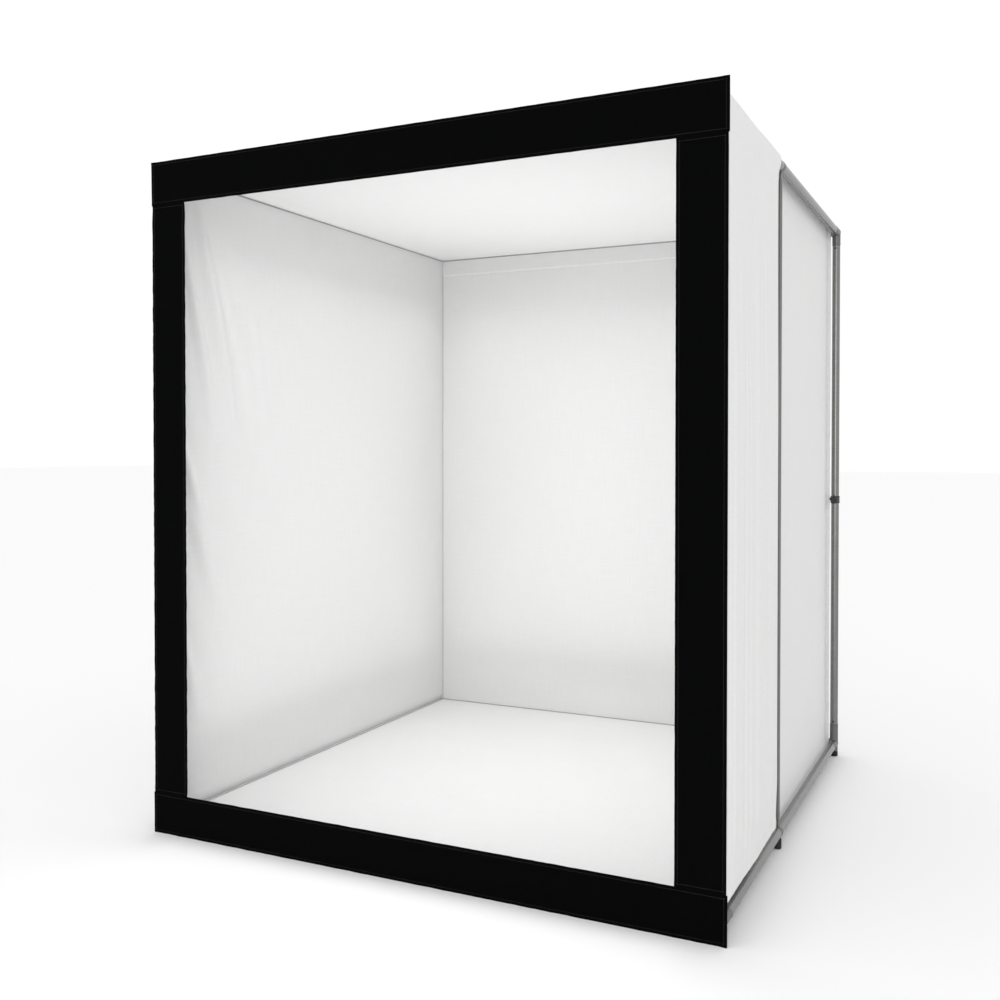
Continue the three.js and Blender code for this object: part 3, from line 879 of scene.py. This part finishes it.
def shade_line_tape_finish(name, colour):
    """Tape whose grey is painted shade for a seam's shadow line: a fine twill across it, and a little
    unevenness along it.
    """
    material, tree, shader = new_finish(name, colour, 0.85)
    place = node(tree, "ShaderNodeTexCoord")
    twill = node(tree, "ShaderNodeTexNoise", Scale=700.0, Detail=2.0)
    tree.links.new(place.outputs["Object"], twill.inputs["Vector"])
    tint = node(tree, "ShaderNodeMix", data_type="RGBA")
    tint.inputs[6].default_value = (*[c * 0.8 for c in colour], 1)
    tint.inputs[7].default_value = (*[min(1.0, c * 1.15) for c in colour], 1)
    tree.links.new(twill.outputs["Fac"], tint.inputs[0])
    tree.links.new(tint.outputs[2], shader.inputs["Base Color"])
    bump = node(tree, "ShaderNodeBump", Strength=0.4, Distance=0.0003)
    tree.links.new(twill.outputs["Fac"], bump.inputs["Height"])
    tree.links.new(bump.outputs["Normal"], shader.inputs["Normal"])
    return material


def tape_run(start, end):
    """Points and faces of a straight run of tape between two points."""
    start, end = Vector(start), Vector(end)
    length = (end - start).length
    return turned(rod_profile(TAPE_RADIUS, 0, length), start, end - start, TAPE_SIDES)


wall_low, wall_high, _ = box_mid("right_wall")
rear_low = box_mid("rear_wall")[0]
inner_x = wall_low[0] - TAPE_RADIUS * 0.5
rear_y = rear_low[1] - TAPE_RADIUS * 0.5
top_z = wall_high[2] - TAPE_RADIUS * 1.2
floor_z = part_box("floor")[1][2] + TAPE_RADIUS * 0.4


def level_runs(z):
    """The runs at one height: along both side walls, and across the rear wall."""
    along = [((s * inner_x, wall_low[1], z), (s * inner_x, rear_y, z)) for s in (-1, 1)]
    return along + [((-inner_x, rear_y, z), (inner_x, rear_y, z))]


tape_runs = {
    "roof": level_runs(top_z),
    "floor": level_runs(floor_z),
    "corner": [((s * inner_x, rear_y, floor_z), (s * inner_x, rear_y, top_z)) for s in (-1, 1)],
}
for name, runs in tape_runs.items():
    points, faces = [], []
    for run in runs:
        run_points, run_faces = tape_run(*run)
        faces += [[i + len(points) for i in face] for face in run_faces]
        points += run_points
    # the strip's grey is painted shade for the shadow line along this seam
    tape = shade_line_tape_finish(f"{name}_tape", SHADE_LINE_COLOURS[name])
    fitted(mesh_object(f"{name}_seam_shade_tape", points, faces), tape)

# The side walls: the same cloth, hung from the roof's edge down to the floor. Near the open front the border
# pulls on them, so long slanting folds run down and back from the front edge.
WALL_FLARE = 0.012
WALL_FLARE_HEIGHT = 0.035
WALL_WAVE = 0.0010
WALL_HELD = 0.12
WALL_FRONT_REACH = 0.3
WALL_VALLEY = 0.002
WALL_FOLDS = [
    # start and end, as (distance back from the front edge, height), then the fold's width and its height
    ((0.11, 2.22), (0.35, 1.22), 0.046, 0.024),
    ((0.04, 2.10), (0.22, 1.30), 0.038, 0.017),
    ((0.20, 2.05), (0.47, 1.36), 0.056, 0.006),
    ((0.00, 1.44), (0.19, 0.86), 0.042, 0.019),
    ((0.02, 1.20), (0.26, 0.66), 0.038, 0.009),
    ((0.00, 0.78), (0.12, 0.34), 0.040, 0.010),
    ((0.42, 1.86), (0.56, 1.10), 0.038, 0.0042),
    ((0.32, 1.60), (0.46, 0.96), 0.038, 0.0038),
]
wall_terms = wave_terms(7, 0.3, 0.9)
for side, x_sign in SIDES.items():
    low, high, middle = box_mid(f"{side}_wall")

    def wall_surface(u, v, low=low, high=high, x=middle[0], inward=-x_sign):
        """The front edge stays free, so the held margin starts in front of the cloth."""
        held = near_edge(u, low[1] - WALL_FRONT_REACH, high[1], WALL_HELD)
        free = (1 - held) * (1 - near_edge(v, low[2], high[2], WALL_HELD))
        waves = WALL_WAVE * soft_waves(wall_terms, u, v)
        folds = sum(pull_fold(u - low[1], v, *fold) for fold in WALL_FOLDS)
        folds = np.maximum(folds, -WALL_VALLEY)
        rise = np.clip((v - low[2]) / WALL_FLARE_HEIGHT, 0, 1)
        flare = WALL_FLARE * (1 - rise) ** 2
        return np.stack([x + inward * (free * (waves + folds) - flare), u, v], 1)

    wall = cloth_piece(f"{side}_wall_cloth", spaced(low[1], high[1], 0.010), spaced(low[2], high[2], 0.014),
                       wall_surface, CLOTH_THICKNESS)
    fitted(wall, white_cloth, [f"{side}_wall"])

# The outer drapes: a second layer of the same cloth at the front of each side. It hangs outside the frame and
# wraps over the top rail onto the roof's edge. It falls in narrow upright folds, with a hem at the bottom.
DRAPE_WRAP_RADIUS = 0.0203
DRAPE_HEM = 0.030
DRAPE_FLARE = 0.045
DRAPE_FOLDS = 20
DRAPE_SLACK = 0.004
DRAPE_RIPPLE = 0.0012
DRAPE_FAR = 9.0
drape_rng = np.random.default_rng(21)
drape_folds = [
    ((i + drape_rng.uniform(0.1, 0.9)) / DRAPE_FOLDS, drape_rng.uniform(0.010, 0.026),
     drape_rng.uniform(0.004, 0.0115) * (0.55 + 0.45 * i / DRAPE_FOLDS), drape_rng.uniform(0.0, 0.6),
     drape_rng.uniform(-0.02, 0.02))
    for i in range(DRAPE_FOLDS)
]
for side, x_sign in SIDES.items():
    low, high, _ = box_mid(f"{side}_drape")
    rail_low, rail_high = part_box(f"rail_{side}_top_front")
    rail = ((rail_low[0] + rail_high[0]) / 2, (rail_low[2] + rail_high[2]) / 2)
    drop = rail[1] - low[2]
    arc = DRAPE_WRAP_RADIUS * math.pi / 2
    flap = abs(rail[0]) - min(abs(low[0]), abs(high[0]))
    depth = high[1] - low[1]

    def drape_surface(u, v, low=low, rail=rail, drop=drop, arc=arc, depth=depth, x_sign=x_sign):
        """u runs back along the rail; v runs up the cloth, over the rail and onto the roof."""
        down = np.clip(v, None, drop)
        turn = np.clip((v - drop) / arc, 0, 1) * math.pi / 2
        over = np.clip(v - drop - arc, 0, None)
        share = (u - low[1]) / depth
        lower = np.clip((drop - v) / drop, 0, 1)
        billow = np.zeros_like(u)
        for at, width, height, begin, lean in drape_folds:
            fade = np.clip((lower - begin * 0.4) / 0.35, 0, 1)
            away = (share - at - lean * lower) * depth / width
            billow += height * fade * fade * (3 - 2 * fade) * np.exp(-(away**2))
        billow *= 1 - near_edge(u, low[1], low[1] + depth + 0.1, 0.05)
        billow *= 0.12 + 0.88 * np.clip(v / 0.14, 0, 1) ** 1.5
        below_wrap = (v - drop + 0.05) / 0.035
        slack = DRAPE_SLACK * np.exp(-(below_wrap**2)) * np.sin(np.pi * np.clip(share, 0, 1))
        hem = HEM_RISE * near_edge(v, 0, DRAPE_FAR, DRAPE_HEM)
        out = billow + slack + hem + DRAPE_RIPPLE * np.sin(9 * share + 3 * lower)
        radius = DRAPE_WRAP_RADIUS
        x = abs(rail[0]) + radius * np.cos(turn) - over + out * np.cos(turn)
        z = np.where(v < drop, low[2] + down, rail[1] + radius * np.sin(turn) + out * np.sin(turn) * 0.4)
        topness = np.clip(1 - (drop - v) / 0.07, 0, 1)
        back = u + DRAPE_FLARE * np.clip(share, 0, 1) ** 6 * topness * topness * (3 - 2 * topness)
        return np.stack([x_sign * x, back, z], 1)

    ups = np.concatenate([spaced(0, drop - 0.06, 0.016), spaced(drop - 0.055, drop + arc, 0.0045),
                          np.linspace(drop + arc + 0.003, drop + arc + flap, 4)])
    cloth = cloth_piece(f"{side}_drape_cloth", spaced(low[1], high[1], 0.006), ups, drape_surface,
                        CLOTH_THICKNESS)
    fitted(cloth, white_cloth, [f"{side}_drape"])
    along = spaced(low[1] + 0.006, high[1] - 0.006, 0.01)
    upward = spaced(0.01, drop - 0.02, 0.02)
    lift = (x_sign * 0.0009, 0, 0)
    rows = [
        lifted(drape_surface, along, np.full_like(along, DRAPE_HEM * 0.8), lift),
        lifted(drape_surface, np.full_like(upward, high[1] - 0.016), upward, lift),
    ]
    stitched(f"{side}_drape_stitches", white_thread, rows)

# The black border: doubled heavy cloth in four strips. The top and bottom strips run the full width, the side
# strips are sewn in between them, and each edge has a turned hem with a row of stitches just inside it.
BLACK_COLOUR = (0.0013, 0.0014, 0.0015)
BORDER_THICKNESS = 0.0026
BORDER_HEM = 0.010
BORDER_GLOSS = 0.035
BORDER_PUCKER = 0.00025
BORDER_HEM_RISE = 0.0006
black_cloth = cloth_finish("black_cloth", BLACK_COLOUR, 0.95, 0.0, 0.12, 0.5)
black_cloth.node_tree.nodes["Principled BSDF"].inputs["Specular IOR Level"].default_value = BORDER_GLOSS
border_terms = [(rng.uniform(0, WAVE_PHASE), rng.uniform(0.03, 0.16)) for _ in range(8)]


def stepped(start, end):
    """Close steps across the hem at each end of a strip, and wider ones between them."""
    hem = BORDER_HEM * 1.2
    inner = spaced(start + BORDER_HEM * 1.4, end - BORDER_HEM * 1.4, 0.012)
    return np.concatenate([np.linspace(start, start + hem, 6), inner, np.linspace(end - hem, end, 6)])


for name in ("border_top", "border_bottom", "border_left", "border_right"):
    low, high, middle = box_mid(name)

    def border_surface(u, v, low=low, high=high, y=middle[1]):
        along, across = (u, v) if high[0] - low[0] > high[2] - low[2] else (v, u)
        edge = near_edge(u, low[0], high[0], 0.05) + near_edge(v, low[2], high[2], 0.05)
        pucker = sum(np.sin(2 * math.pi * along / s + p + 14 * across) for p, s in border_terms)
        hem = near_edge(u, low[0], high[0], BORDER_HEM) + near_edge(v, low[2], high[2], BORDER_HEM)
        return np.stack([u, y - BORDER_PUCKER * pucker * edge - BORDER_HEM_RISE * hem, v], 1)

    strip = cloth_piece(f"{name}_cloth", stepped(low[0], high[0]), stepped(low[2], high[2]), border_surface,
                        BORDER_THICKNESS)
    fitted(strip, black_cloth, [name])
    inset = BORDER_HEM * 0.9
    us, vs = spaced(low[0] + inset, high[0] - inset, 0.01), spaced(low[2] + inset, high[2] - inset, 0.01)
    lift = (0, -BORDER_THICKNESS / 2 - 0.0001, 0)
    rows = [lifted(border_surface, us, np.full_like(us, z), lift) for z in (low[2] + inset, high[2] - inset)]
    rows += [lifted(border_surface, np.full_like(vs, x), vs, lift) for x in (low[0] + inset, high[0] - inset)]
    stitched(f"{name}_stitches", black_thread, rows)
